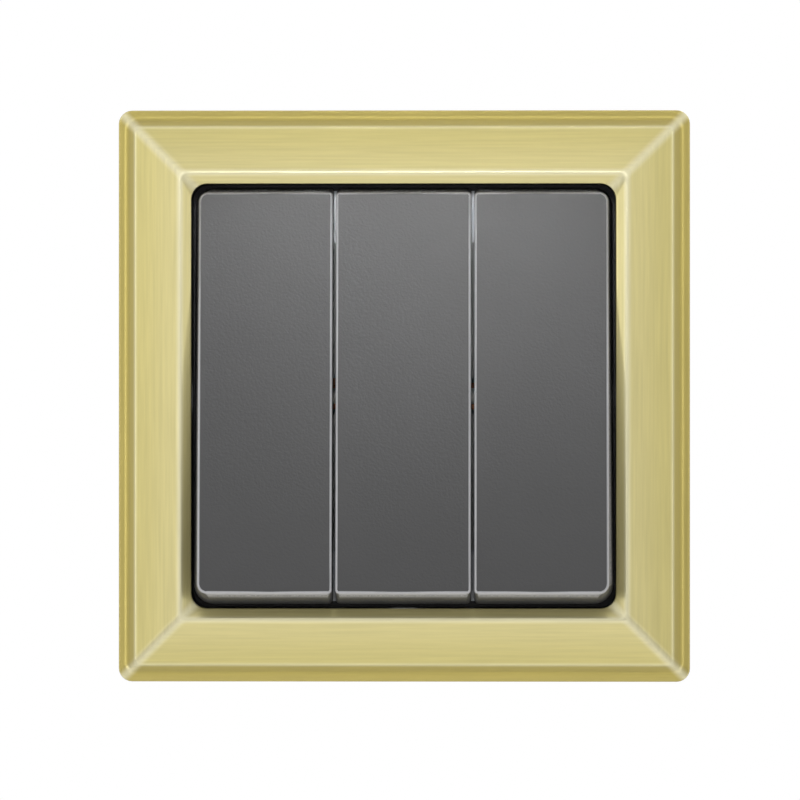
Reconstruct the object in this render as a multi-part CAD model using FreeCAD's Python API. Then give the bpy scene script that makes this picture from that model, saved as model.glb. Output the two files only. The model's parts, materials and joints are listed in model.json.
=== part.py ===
"""Three-gang flush wall switch with a square brass cover frame.

The row frame: the wall surface is the plane Y = 0, the room is at -Y, the wall box at +Y, +Z is up.
The origin is the middle of the support ring's rear face, between its two box-screw slots.
All sizes are in millimetres.
"""
import FreeCAD
import Part
import math
import os

Vec = FreeCAD.Vector
X_AXIS, Y_AXIS, Z_AXIS = Vec(1, 0, 0), Vec(0, 1, 0), Vec(0, 0, 1)

# ---------------------------------------------------------------------------------------------
# Driving dimensions
# ---------------------------------------------------------------------------------------------
# Wall box and support ring
BOX_SCREW_SPACING = 60.0
RING_MARGIN = 5.5           # ring beyond the box screws
RING_THICKNESS, RING_CORNER = 1.2, 3.0
SLOT_WIDTH, SLOT_LENGTH = 3.6, 5.6
LUG_Z, LUG_WIDTH = 24.0, 7.0
LUG_JOGGLE = 1.5            # the four clip lugs stand this far off the wall
LUG_DEPTH = 2.5             # how far a lug runs in from the ring's edge
LUG_SLIT = 0.4              # cut at both sides of a lug
LUG_HEEL, LUG_BEND = 0.4, 1.1   # start and length of the joggle

# Cover frame: a mitred brass moulding, drawn from its outer edge inwards
FRAME_REACH = 7.25          # frame beyond the ring
WINDOW_INSET = 3.9          # window inside the ring's edge
FRAME_CORNER = 2.0          # plan radius of the outer corners
MITRE_CORNER = 1.0          # plan radius of the softened mitre ridges
WINDOW_CORNER = 2.3
RIM_HEIGHT = 2.3            # upright outer rim
LEDGE_WIDTH, LEDGE_RISE = 1.35, 0.6
RISER_WIDTH, RISER_RISE = 1.3, 2.5
FACE_RISE = 3.8             # climb of the broad sloping face
BEVEL_WIDTH, BEVEL_DROP = 1.6, 1.1
RIM_ROUND, COVE_ROUND, STEP_ROUND, CREST_ROUND, LIP_ROUND = 0.4, 2.0, 0.45, 0.5, 0.25
BRASS_WALL = 1.1
LIP_DEPTH = 1.1             # upright brass edge inside the window

# Carrier that clips the brass frame to the ring
CARRIER_WALL = 1.3
FLANGE_HEIGHT, FLANGE_THICKNESS = 3.0, 1.0
FLANGE_GAP = 0.2            # flange to brass
SKIRT_FOOT = 0.3            # the skirt and pads end this far off the wall
HOOK_WIDTH, HOOK_THICKNESS, HOOK_NOSE = 6.0, 1.1, 0.8
HOOK_GAP = 0.15             # hook to ring edge
HOOK_FOOT = 0.5             # a hook's tip ends this far off the wall
PAD_LENGTH, PAD_Z = 6.0, 24.0           # pads that centre the brass frame
FOOT_WIDTH, FOOT_THICKNESS = 0.9, 0.4   # ledge that closes the gap round the caps

# Rocker caps
CAP_GAP = 0.4               # between the caps' rim and the window
CAP_GROOVE = 0.4            # between two caps at their rims
MIDDLE_CAP_WIDTH = 20.2
CAP_FRONT = 9.8             # height of the caps' face above the wall, level
CAP_RIM = 4.6               # height of the caps' rear rim, level
CAP_SIDE_DRAFT = 0.75       # outer sides lean in by this much
CAP_END_DRAFT = 1.4         # top and bottom ends lean in by this much
CAP_GROOVE_DRAFT = 0.05     # sides along a groove
CAP_SHOULDER = 0.62         # share of the cap's side height where the ends turn inwards
END_CURVE = 1.6             # how sharply they turn
CAP_SKIN, CAP_WALL = 1.6, 1.3
CAP_EDGE_ROUND = 0.4
CAP_OUTER_CORNER, CAP_INNER_CORNER = 3.0, 0.8
CAP_FACE_OUTER_CORNER, CAP_FACE_INNER_CORNER = 1.3, 0.6
CAP_LEAST_CORNER = 0.3      # inside a wall
CAP_INNER_WALL_TRIM = 1.3   # walls along a groove stop short of the rim
CAP_RIB, RIB_SETBACK = 0.9, 1.0
CROSS_RIB_Z = 24.0

# Swing of the rockers
TILT = 5.0                  # each way from level; the switch rests with its lower ends out
PIVOT_HEIGHT = 3.2
TRUNNION_R = 1.2
RUNNING = 0.05              # radial clearance of a turning fit
FIT = 0.05                  # clearance between pieces that slip into each other
SEAT = 0.01                 # clearance between faces that press on each other
ROOT = 0.3                  # overlap of a rib or arm with what it grows from

# Cradles, one behind each cap
CRADLE_WIDTH = 8.2
CRADLE_GAP = 0.1            # cradle to cap wall
CRADLE_LENGTH = 36.0
CRADLE_THICKNESS = 1.6
CRADLE_HEIGHT = 6.0         # height of the cradle plate's rear face, level
CHEEK_THICKNESS = 1.2
CHEEK_LENGTH = 12.0
EYE_WALL = 0.6              # round a trunnion
TRUNNION_GAP = 0.2          # between the ends of two trunnions in one rib
TUBE_R, TUBE_BORE_R = 2.7, 1.65
TUBE_END = 3.4              # depth of the tube's mouth behind the wall plane
TUBE_BOTTOM = 5.2           # height of the blind end of the tube's bore
SNAP_WIDTH, SNAP_THICKNESS, SNAP_HOOK = 5.0, 1.2, 0.6

# Spring plungers
PLUNGER_R = 1.5
PLUNGER_TIP = 6.0           # depth of the tip, level
PLUNGER_LENGTH = 6.6
SPRING_R, SPRING_WIRE, SPRING_TURNS = 1.25, 0.4, 4

# Contact levers and fulcrums
LEVER_TILT = 6.0
LEVER_WIDTH, LEVER_LENGTH, LEVER_THICKNESS, LEVER_CORNER = 3.6, 13.0, 0.6, 1.1
LEVER_ROOM = 0.45           # lever to the claw pocket's wall
TIP_CLEARANCE = 0.03        # plunger tip to lever, level
FULCRUM_R, FULCRUM_MARGIN = 0.3, 0.4     # knife edge, and how far it passes the lever
CONTACT_OFFSET = 5.0        # contact button from the fulcrum
BUTTON_R, BUTTON_HEIGHT = 1.2, 0.5
FIXED_BUTTON_R = 1.3
CONTACT_GAP = 0.03          # closed contacts, button to button

# Bearing plate in front of the ring
PLATE_THICKNESS = 1.2
PLATE_MARGIN = 1.0          # overlap of the plate on the ring, round the housing's mouth
BEARING_RIB = 2.0
RIB_LENGTH = 7.0
WING_HEIGHT = 9.2           # plate under the ribs, out beyond the housing
TUBE_ROOM = 0.9             # clearance round a tilting spring tube or cheek
SNAP_SLOT = 1.9             # mouth through which a trunnion snaps into its rib
SPIGOT_WIDTH, SPIGOT_THICKNESS, SPIGOT_DEPTH = 28.0, 1.2, 2.5    # plug into the housing
SPIGOT_GAP = 0.1
RIVET_X = 6.0
RIVET_R, RIVET_HEAD_R, RIVET_HEAD, RIVET_BORE_R = 1.5, 2.2, 0.6, 0.8
RIVET_ROOM, RIVET_GAP = 1.9, 0.1    # rivet heads to the caps' end walls, and to the housing
TAB_MARGIN = 0.4            # tab beyond the rivet's head

# Insert housing
HOUSING_DEPTH, HOUSING_CHAMFER = 23.0, 6.0
HOUSING_WALL, HOUSING_FLOOR = 1.5, 2.0
PARTITION = 1.2
PARTITION_DROP = 4.0        # walls between bays and terminal chambers, from the release levers
PARTITION_FRONT = 4.0       # depth where the walls between the bays begin
TAB_THICKNESS = 2.0         # rivet tabs, and the rim left in front of the claw pockets

# Conductors
STRIP = 0.8
BUSBAR_DROP = 0.72          # busbar face behind the fulcrum line
BUSBAR_WIDTH = 4.0
BUSBAR_GAP = 0.6            # ends of the strip to the housing's sides
OUTPUT_DROP = 2.92          # front face of the output strips behind the fulcrum line
OUTPUT_WIDTH = 4.0
TERMINAL_WIDTH = 10.0
TAIL_GAP = 0.6              # terminal legs to the housing's end walls
CROSSOVER_RISE, CROSSOVER_WIDTH = 3.0, 2.0   # sideways steps of the strips, from those walls
LEG_GAP = 2.0               # a terminal leg ends this far short of the floor
WIRE_ENTRY, WIRE_LEAD_IN, ENTRY_CORNER = 3.4, 0.7, 0.2
WIRE_SPACING = 6.8
WIRE_GAP = 0.3              # wire entry to terminal leg

# Clamp springs and release levers
LEAF, LEAF_BEND = 0.4, 1.0
LEAF_GAP = 0.1              # leaf to partition, and to a release lever
LEAF_LEG_END, LEAF_TIP_END = 2.5, 3.5   # short of the floor
LEAF_TIP_GAP = 0.4          # tongue's tip to terminal leg
RELEASE_DROP = 5.1          # release levers from the wires' row
RELEASE_WIDTH, RELEASE_THICKNESS = 6.8, 2.8
RELEASE_TRAVEL, PRESSED_PROUD = 1.2, 0.3
RELEASE_COLLAR, COLLAR_THICKNESS = 0.8, 1.0
RELEASE_GAP = 0.2
RELEASE_CHAMFER = 0.5
BLADE_SLOT, BLADE_SLOT_DEPTH = 0.8, 0.6

# Spreader claws
CLAW_Z, CLAW_WIDTH, CLAW_SHEET = 8.5, 6.5, 1.3
CLAW_PIVOT_Y, CLAW_PIN_R, CLAW_EYE_R = 9.0, 0.9, 1.7
CLAW_SWING = 28.0
CLAW_ARM, CLAW_ARM_SPLAY = 13.8, 1.5
CLAW_TOOTH, TEETH, TOOTH_TIP, TOOTH_FLAT = 1.6, 3, 0.4, 1.0
CLAW_SLOT_GAP = 0.15        # ends of a claw's slot to its screw
TAB_END_WALL = 0.9          # claw tab beyond its slot
POCKET_DEPTH, POCKET_WALL = 2.55, 1.2
CLAW_SIDE_GAP = 0.2
EYE_GAP = 0.15              # between a claw's eye and the pocket's floor
PIN_LUG, PIN_LUG_R = 1.2, 2.2
SCREW_R, SCREW_END = 1.5, 12.5
SCREW_GAP = 1.1             # screw to the housing's side
SCREW_CLEARANCE = 0.2       # round a screw in the ring
SCREW_HEAD_R, SCREW_HEAD, HEAD_ROUND = 2.6, 1.8, 1.0
CROSS_WIDTH, CROSS_LENGTH, CROSS_DEPTH = 0.7, 3.0, 1.1

THROUGH = 100.0             # reach of a cut that passes right through

# ---------------------------------------------------------------------------------------------
# Places worked out from the driving dimensions
# ---------------------------------------------------------------------------------------------
RING_WIDTH = BOX_SCREW_SPACING + 2 * RING_MARGIN
FRAME_WIDTH = RING_WIDTH + 2 * FRAME_REACH
WINDOW_WIDTH = RING_WIDTH - 2 * WINDOW_INSET
STEP_HEIGHT = RIM_HEIGHT + LEDGE_RISE + RISER_RISE
CREST_HEIGHT = STEP_HEIGHT + FACE_RISE
LIP_HEIGHT = CREST_HEIGHT - BEVEL_DROP
WINDOW_HALF = WINDOW_WIDTH / 2
CAP_HALF = WINDOW_HALF - CAP_GAP
SIDE_CAP_START = MIDDLE_CAP_WIDTH / 2 + CAP_GROOVE
CRADLE_PITCH = SIDE_CAP_START + CAP_WALL + CRADLE_GAP + CRADLE_WIDTH / 2
CRADLE_FRONT = CRADLE_HEIGHT + CRADLE_THICKNESS
FULCRUM_Y = PLUNGER_TIP + TIP_CLEARANCE + LEVER_THICKNESS + FIT
BUSBAR_Y = FULCRUM_Y + BUSBAR_DROP
OUTPUT_DEPTH = FULCRUM_Y + OUTPUT_DROP
POCKET_X = CRADLE_PITCH + LEVER_WIDTH / 2 + LEVER_ROOM + POCKET_WALL
HOUSING_WIDTH = 2 * (POCKET_X + POCKET_DEPTH)
RIVET_Z = CAP_HALF - CAP_WALL - RIVET_ROOM - RIVET_HEAD_R
HOUSING_HEIGHT = 2 * (RIVET_Z - RIVET_HEAD_R - RIVET_GAP)
CLAW_PIVOT_X = POCKET_X + CLAW_EYE_R + EYE_GAP
SCREW_X = HOUSING_WIDTH / 2 + SCREW_GAP + SCREW_R
INNER_X = HOUSING_WIDTH / 2 - HOUSING_WALL
INNER_Z = HOUSING_HEIGHT / 2 - HOUSING_WALL
INNER_CHAMFER = HOUSING_CHAMFER - HOUSING_WALL * (2 - math.sqrt(2))
TERMINAL_X = (INNER_X + PARTITION / 2) / 2
STRIP_OUTER_Z = INNER_Z - TAIL_GAP - STRIP
TERMINAL_Z = STRIP_OUTER_Z - WIRE_GAP - WIRE_ENTRY / 2
RELEASE_Z = TERMINAL_Z - RELEASE_DROP
PARTITION_Z = RELEASE_Z - PARTITION_DROP
CROSSOVER_Z = PARTITION_Z + CROSSOVER_RISE
FLOOR_Y = HOUSING_DEPTH - HOUSING_FLOOR
TAB_Z = RIVET_Z + RIVET_HEAD_R
PLATE_FRONT = RING_THICKNESS + PLATE_THICKNESS
PIVOT = Vec(0, -PIVOT_HEIGHT, 0)
FULCRUM = Vec(0, FULCRUM_Y, 0)
BAYS = {"left": -CRADLE_PITCH, "middle": 0.0, "right": CRADLE_PITCH}
TERMINALS = {                # place along X, and 1 above or -1 below the bays
    "common": (-TERMINAL_X, 1),
    "left": (-TERMINAL_X, -1),
    "middle": (TERMINAL_X, -1),
    "right": (TERMINAL_X, 1),
}

nodes = {}


# ---------------------------------------------------------------------------------------------
# Shape helpers
# ---------------------------------------------------------------------------------------------
def block(x0, x1, y0, y1, z0, z1):
    """A box between two opposite corners, given in any order."""
    low = Vec(min(x0, x1), min(y0, y1), min(z0, z1))
    return Part.makeBox(abs(x1 - x0), abs(y1 - y0), abs(z1 - z0), low)


def polygon_prism(points, direction):
    """A closed outline of points, extruded along a direction."""
    wire = Part.makePolygon(list(points) + [points[0]])
    return Part.Face(wire).extrude(direction)


def cylinder(radius, start, direction, length):
    return Part.makeCylinder(radius, length, start, direction)


def bore(radius, x, z):
    """A round cut along Y, right through."""
    return cylinder(radius, Vec(x, -THROUGH, z), Y_AXIS, 2 * THROUGH)


def turned(shape, centre, axis, degrees):
    """A copy of a shape, turned about an axis through a point."""
    copy = shape.copy()
    copy.rotate(centre, axis, degrees)
    return copy


def moved(shape, x=0.0, y=0.0, z=0.0):
    copy = shape.copy()
    copy.translate(Vec(x, y, z))
    return copy


def fuse(shapes):
    """One solid from several that touch or overlap, with the seams between flat faces removed."""
    first, rest = shapes[0], list(shapes[1:])
    return first.fuse(rest).removeSplitter() if rest else first


def outline(x0, x1, z0, z1, corners, y):
    """A rounded rectangle at depth y. corners holds the plan radii at x1 z1, x0 z1, x0 z0, x1 z0."""
    spots = [(x1, z1, 0), (x0, z1, 90), (x0, z0, 180), (x1, z0, 270)]
    arcs = []
    for (x, z, start), radius in zip(spots, corners):
        side_x = 1 if x == x1 else -1
        side_z = 1 if z == z1 else -1
        cx, cz = x - side_x * radius, z - side_z * radius
        points = []
        for turn in (0, 45, 90):
            angle = math.radians(start + turn)
            points.append(Vec(cx + radius * math.cos(angle), y, cz + radius * math.sin(angle)))
        arcs.append(points)
    edges = []
    for i, points in enumerate(arcs):
        edges.append(Part.Arc(*points).toShape())
        edges.append(Part.LineSegment(points[2], arcs[(i + 1) % 4][0]).toShape())
    return Part.Wire(edges)


def square(half, corner, height):
    """A centred rounded square at a height above the wall."""
    return outline(-half, half, -half, half, [corner] * 4, -height)


def stack(wires):
    """A solid through a row of outlines, straight from each to the next."""
    return Part.makeLoft(wires, True, True)


def square_prism(half, corner, low, high):
    return stack([square(half, corner, low), square(half, corner, high)])


def loops_at(shape, height):
    """The edges of a shape that lie wholly at one height above the wall."""
    found = []
    for edge in shape.Edges:
        box = edge.BoundBox
        if abs(box.YMin + height) < 1e-4 and abs(box.YMax + height) < 1e-4:
            found.append(edge)
    return found


def octagon(half_x, half_z, chamfer, y0, y1):
    """A centred rectangle with cut corners, extruded between two depths."""
    points = []
    for sx, sz in ((1, 1), (-1, 1), (-1, -1), (1, -1)):
        first = Vec(sx * half_x, y0, sz * (half_z - chamfer))
        second = Vec(sx * (half_x - chamfer), y0, sz * half_z)
        points += [first, second] if sx * sz > 0 else [second, first]
    return polygon_prism(points, Vec(0, y1 - y0, 0))


def both_ways(shape):
    """A shape and its copy turned half round the switch's centre line."""
    return [shape, turned(shape, Vec(0, 0, 0), Y_AXIS, 180)]


def four_ways(shape):
    """A shape and its mirror images in the upright and the level middle planes."""
    across = shape.mirror(Vec(0, 0, 0), X_AXIS)
    return [shape, across, shape.mirror(Vec(0, 0, 0), Z_AXIS), across.mirror(Vec(0, 0, 0), Z_AXIS)]


# ---------------------------------------------------------------------------------------------
# Cover: brass frame and plastic carrier
# ---------------------------------------------------------------------------------------------
def frame_stations():
    """Half width, height and plan corner radius at each break of the moulding, from the wall out."""
    half = FRAME_WIDTH / 2
    return [
        (half, 0.0, FRAME_CORNER),
        (half, RIM_HEIGHT, FRAME_CORNER),
        (half - LEDGE_WIDTH, RIM_HEIGHT + LEDGE_RISE, (FRAME_CORNER + MITRE_CORNER) / 2),
        (half - LEDGE_WIDTH - RISER_WIDTH, STEP_HEIGHT, MITRE_CORNER),
        (WINDOW_HALF + BEVEL_WIDTH, CREST_HEIGHT, MITRE_CORNER),
        (WINDOW_HALF, LIP_HEIGHT, WINDOW_CORNER),
    ]


def hollow_stations():
    """Half width and height at each break of the hollow, one brass wall inside the moulding's face."""
    face = [(half, height) for half, height, _ in frame_stations()]
    normals = []
    for (half0, low), (half1, high) in zip(face, face[1:]):
        run = math.hypot(half1 - half0, high - low)
        normals.append((-(high - low) / run, (half1 - half0) / run))
    inside = [(face[0][0] - BRASS_WALL, 0.0)]
    for (half, height), (a, b), (c, d) in zip(face[1:], normals, normals[1:]):
        mitre = BRASS_WALL / (1 + a * c + b * d)
        inside.append((half + mitre * (a + c), height + mitre * (b + d)))
    return inside


def hollow_half(height):
    """Half width of the hollow behind the brass at a height."""
    inside = hollow_stations()
    for (half0, low), (half1, high) in zip(inside, inside[1:]):
        if height <= high:
            return half0 + (half1 - half0) * (height - low) / (high - low)
    return inside[-1][0]


def cover_frame():
    """The brass moulding, hollow behind, with an upright edge round its window."""
    stations = frame_stations()
    body = stack([square(half, corner, height) for half, height, corner in stations])
    rounds = [RIM_ROUND, COVE_ROUND, STEP_ROUND, CREST_ROUND]
    for (_, height, _), radius in zip(stations[1:], rounds):
        body = body.makeFillet(radius, loops_at(body, height))
    body = body.cut(square_prism(WINDOW_HALF, WINDOW_CORNER, -ROOT, CREST_HEIGHT))
    body = body.makeFillet(LIP_ROUND, loops_at(body, LIP_HEIGHT))
    hollow = stack([square(half, MITRE_CORNER, height) for half, height in hollow_stations()])
    lip_wall = square_prism(WINDOW_HALF + BRASS_WALL, WINDOW_CORNER, LIP_HEIGHT - LIP_DEPTH, CREST_HEIGHT)
    return body.cut(hollow.cut(lip_wall))


def frame_carrier():
    """Black frame under the brass: a window wall, a flange with pads, and four hooks for the ring."""
    seat = RING_THICKNESS + FIT
    flange_top = FLANGE_HEIGHT + FLANGE_THICKNESS
    flange_half = hollow_half(flange_top) - FLANGE_GAP
    skirt_half = flange_half - CARRIER_WALL
    pad_reach = FRAME_WIDTH / 2 - BRASS_WALL - FIT
    pad_top = hollow_stations()[1][1] - FLANGE_GAP
    wall_half, wall_corner = WINDOW_HALF + CARRIER_WALL, WINDOW_CORNER + CARRIER_WALL
    pieces = [
        square_prism(wall_half, wall_corner, seat, LIP_HEIGHT - LIP_DEPTH - FIT),
        square_prism(flange_half, MITRE_CORNER, FLANGE_HEIGHT, flange_top),
        square_prism(flange_half, MITRE_CORNER, SKIRT_FOOT, FLANGE_HEIGHT).cut(
            square_prism(skirt_half, MITRE_CORNER, 0.0, FLANGE_HEIGHT)),
    ]
    for centre in (-PAD_Z, PAD_Z):
        low, high = centre - PAD_LENGTH / 2, centre + PAD_LENGTH / 2
        for sign in (-1, 1):
            inner, outer = sign * skirt_half, sign * pad_reach
            pieces.append(block(inner, outer, -SKIRT_FOOT, -pad_top, low, high))
            pieces.append(block(low, high, -SKIRT_FOOT, -pad_top, inner, outer))
    body = fuse(pieces).cut(square_prism(WINDOW_HALF, WINDOW_CORNER, 0.0, CREST_HEIGHT))
    foot = square_prism(wall_half, wall_corner, seat, seat + FOOT_THICKNESS)
    foot = foot.cut(square_prism(WINDOW_HALF - FOOT_WIDTH, WINDOW_CORNER, 0.0, CREST_HEIGHT))
    return fuse([body, foot] + four_ways(ring_hook()))


def ring_hook():
    """One latch arm that reaches past the ring's edge and hooks behind its raised lug."""
    edge = RING_WIDTH / 2 + HOOK_GAP
    nose_front = LUG_JOGGLE - FIT
    low = LUG_Z - HOOK_WIDTH / 2
    arm = block(edge, edge + HOOK_THICKNESS, -FLANGE_HEIGHT - ROOT, -HOOK_FOOT, low, low + HOOK_WIDTH)
    tip = [
        Vec(edge, -nose_front, low),
        Vec(edge - HOOK_NOSE, -nose_front, low),
        Vec(edge - HOOK_NOSE / 3, -HOOK_FOOT, low),
        Vec(edge, -HOOK_FOOT, low),
    ]
    return fuse([arm, polygon_prism(tip, Vec(0, 0, HOOK_WIDTH))])


# ---------------------------------------------------------------------------------------------
# Rocker caps and cradles
# ---------------------------------------------------------------------------------------------
def cap_span(side):
    """Rim edges of a cap along X, and which of them is on the outside."""
    if side == "middle":
        return -MIDDLE_CAP_WIDTH / 2, MIDDLE_CAP_WIDTH / 2, (False, False)
    if side == "left":
        return -CAP_HALF, -SIDE_CAP_START, (True, False)
    return SIDE_CAP_START, CAP_HALF, (False, True)


def cap_outline(side, share, height, inset):
    """A cap's plan at a share of its draft, drawn in by an even inset."""
    x0, x1, (outer0, outer1) = cap_span(side)
    draft0 = CAP_SIDE_DRAFT if outer0 else CAP_GROOVE_DRAFT
    draft1 = CAP_SIDE_DRAFT if outer1 else CAP_GROOVE_DRAFT
    end = CAP_HALF - CAP_END_DRAFT * share ** END_CURVE - inset
    radii = []
    for outer in (outer1, outer0, outer0, outer1):
        rim = CAP_OUTER_CORNER if outer else CAP_INNER_CORNER
        face = CAP_FACE_OUTER_CORNER if outer else CAP_FACE_INNER_CORNER
        radii.append(max(rim + (face - rim) * share - inset, CAP_LEAST_CORNER))
    return outline(x0 + draft0 * share + inset, x1 - draft1 * share - inset, -end, end, radii, -height)


def rocker_cap(side):
    """A thin-walled finger plate with snap arms for its cradle."""
    rise = CAP_FRONT - CAP_RIM
    shoulder = CAP_RIM + rise * CAP_SHOULDER
    body = stack([
        cap_outline(side, 0.0, CAP_RIM, 0.0),
        cap_outline(side, CAP_SHOULDER, shoulder, 0.0),
        cap_outline(side, 1.0, CAP_FRONT, 0.0),
    ])
    body = body.makeFillet(CAP_EDGE_ROUND, loops_at(body, CAP_FRONT))
    ceiling = CAP_FRONT - CAP_SKIN
    hollow = stack([
        cap_outline(side, 0.0, CAP_RIM - SEAT, CAP_WALL),
        cap_outline(side, CAP_SHOULDER, shoulder, CAP_WALL),
        cap_outline(side, (ceiling - CAP_RIM) / rise, ceiling, CAP_WALL),
    ])
    body = body.cut(hollow)
    x0, x1, outer = cap_span(side)
    trim_end = CAP_HALF - 2 * CAP_WALL
    for x, is_outer, sign in ((x0, outer[0], 1), (x1, outer[1], -1)):
        if not is_outer:
            body = body.cut(block(x - sign * FIT, x + sign * (CAP_WALL + FIT), -CAP_RIM + FIT,
                                  -CAP_RIM - CAP_INNER_WALL_TRIM, -trim_end, trim_end))
    return fuse([body] + cap_snaps(BAYS[side]) + cap_ribs(side, ceiling))


def cap_snaps(centre):
    """Two hooked arms that grip the ends of the cradle plate."""
    ceiling = CAP_FRONT - CAP_SKIN
    end = CRADLE_LENGTH / 2 + FIT
    x = centre - SNAP_WIDTH / 2
    hook_front = CRADLE_HEIGHT - FIT
    points = [
        Vec(x, -ceiling - ROOT, end),
        Vec(x, -hook_front, end),
        Vec(x, -hook_front, end - SNAP_HOOK),
        Vec(x, -hook_front + SNAP_HOOK, end),
        Vec(x, -hook_front + SNAP_HOOK, end + SNAP_THICKNESS),
        Vec(x, -ceiling - ROOT, end + SNAP_THICKNESS),
    ]
    arm = polygon_prism(points, Vec(SNAP_WIDTH, 0, 0))
    return [arm, arm.mirror(Vec(0, 0, 0), Z_AXIS)]


def cap_ribs(side, ceiling):
    """Low ribs inside the face: two along the cradle, and cross ribs out to the walls."""
    centre, seat, half = BAYS[side], CRADLE_FRONT + SEAT, CAP_RIB / 2
    x0, x1, _ = cap_span(side)
    run = CRADLE_LENGTH / 2 - RIB_SETBACK
    ribs = []
    for x in (centre - CRADLE_WIDTH / 3, centre + CRADLE_WIDTH / 3):
        ribs.append(block(x - half, x + half, -ceiling - ROOT, -seat, -run, run))
    for z in (-CROSS_RIB_Z, CROSS_RIB_Z):
        ribs.append(block(x0 + CAP_WALL, x1 - CAP_WALL, -ceiling - ROOT, -seat, z - half, z + half))
    return ribs


def cradle(centre):
    """The moulded seesaw that carries a cap: plate, two cheeks with trunnions, and a spring tube."""
    half = CRADLE_WIDTH / 2
    plate = block(centre - half, centre + half, -CRADLE_FRONT, -CRADLE_HEIGHT,
                  -CRADLE_LENGTH / 2, CRADLE_LENGTH / 2)
    pieces = [plate]
    eye_r = TRUNNION_R + EYE_WALL
    for sign in (-1, 1):
        outer = centre + sign * half
        inner = outer - sign * CHEEK_THICKNESS
        cheek = [
            Vec(inner, -CRADLE_HEIGHT - ROOT, -CHEEK_LENGTH / 2),
            Vec(inner, -CRADLE_HEIGHT - ROOT, CHEEK_LENGTH / 2),
            Vec(inner, -PIVOT_HEIGHT, eye_r),
            Vec(inner, -PIVOT_HEIGHT, -eye_r),
        ]
        pieces.append(polygon_prism(cheek, Vec(outer - inner, 0, 0)))
        pieces.append(cylinder(eye_r, Vec(inner, -PIVOT_HEIGHT, 0), X_AXIS * sign, CHEEK_THICKNESS))
        reach = (CRADLE_PITCH - TRUNNION_GAP) / 2 - half
        pieces.append(cylinder(TRUNNION_R, Vec(outer, -PIVOT_HEIGHT, 0), X_AXIS * sign, reach))
    pieces.append(cylinder(TUBE_R, Vec(centre, -CRADLE_HEIGHT - ROOT, 0), Y_AXIS,
                           TUBE_END + CRADLE_HEIGHT + ROOT))
    return fuse(pieces).cut(cylinder(TUBE_BORE_R, Vec(centre, -TUBE_BOTTOM, 0), Y_AXIS, THROUGH))


def plunger(centre):
    """A round-nosed pin that slides in the cradle's tube."""
    nose = PLUNGER_TIP - PLUNGER_R
    start = Vec(centre, PLUNGER_TIP - PLUNGER_LENGTH, 0)
    shaft = cylinder(PLUNGER_R, start, Y_AXIS, PLUNGER_LENGTH - PLUNGER_R)
    return fuse([shaft, Part.makeSphere(PLUNGER_R, Vec(centre, nose, 0))])


def plunger_spring(centre):
    """A compression coil between the bottom of the tube and the plunger."""
    start = -TUBE_BOTTOM + SPRING_WIRE
    length = PLUNGER_TIP - PLUNGER_LENGTH - SPRING_WIRE - start
    helix = Part.makeHelix(length / SPRING_TURNS, length, SPRING_R)
    half = SPRING_WIRE / 2
    corners = [Vec(SPRING_R + a * half, 0, b * half) for a, b in ((1, 0), (0, 1), (-1, 0), (0, -1))]
    section = Part.makePolygon(corners + [corners[0]])
    coil = Part.Wire(helix.Edges).makePipeShell([section], True, True)
    coil.rotate(Vec(0, 0, 0), X_AXIS, -90)
    return moved(coil, centre, start, 0)


# ---------------------------------------------------------------------------------------------
# Switching parts
# ---------------------------------------------------------------------------------------------
def contact_lever(centre):
    """A copper seesaw with a groove for its knife-edge fulcrum."""
    front, back = FULCRUM_Y - FIT - LEVER_THICKNESS, FULCRUM_Y - FIT
    half_x, half_z = LEVER_WIDTH / 2, LEVER_LENGTH / 2
    plate = outline(centre - half_x, centre + half_x, -half_z, half_z, [LEVER_CORNER] * 4, front)
    body = Part.Face(plate).extrude(Vec(0, back - front, 0))
    groove = cylinder(FULCRUM_R + FIT, FULCRUM - X_AXIS * THROUGH, X_AXIS, 2 * THROUGH)
    return body.cut(groove)


def moving_contact(centre):
    return cylinder(BUTTON_R, Vec(centre, FULCRUM_Y - FIT, -CONTACT_OFFSET), Y_AXIS, BUTTON_HEIGHT)


def fixed_button(centre):
    """The fixed contact button, its face parallel to the closed lever's."""
    face = FULCRUM_Y - FIT + BUTTON_HEIGHT + CONTACT_GAP
    stem = cylinder(FIXED_BUTTON_R, Vec(centre, FULCRUM_Y, -CONTACT_OFFSET), Y_AXIS, OUTPUT_DROP)
    room = block(-THROUGH, THROUGH, face - THROUGH, face, -THROUGH, THROUGH)
    return stem.cut(turned(room, FULCRUM, X_AXIS, LEVER_TILT))


def terminal_tail(x, sign, depth):
    """A strip's end: a pad across the terminal, and an upright leg behind the wire entries."""
    outer = sign * (STRIP_OUTER_Z + STRIP)
    half = TERMINAL_WIDTH / 2
    near = sign * (CROSSOVER_Z - CROSSOVER_WIDTH / 2)
    return [
        block(x - half, x + half, depth, depth + STRIP, near, outer),
        block(x - half, x + half, depth, FLOOR_Y - LEG_GAP, sign * STRIP_OUTER_Z, outer),
    ]


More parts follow.
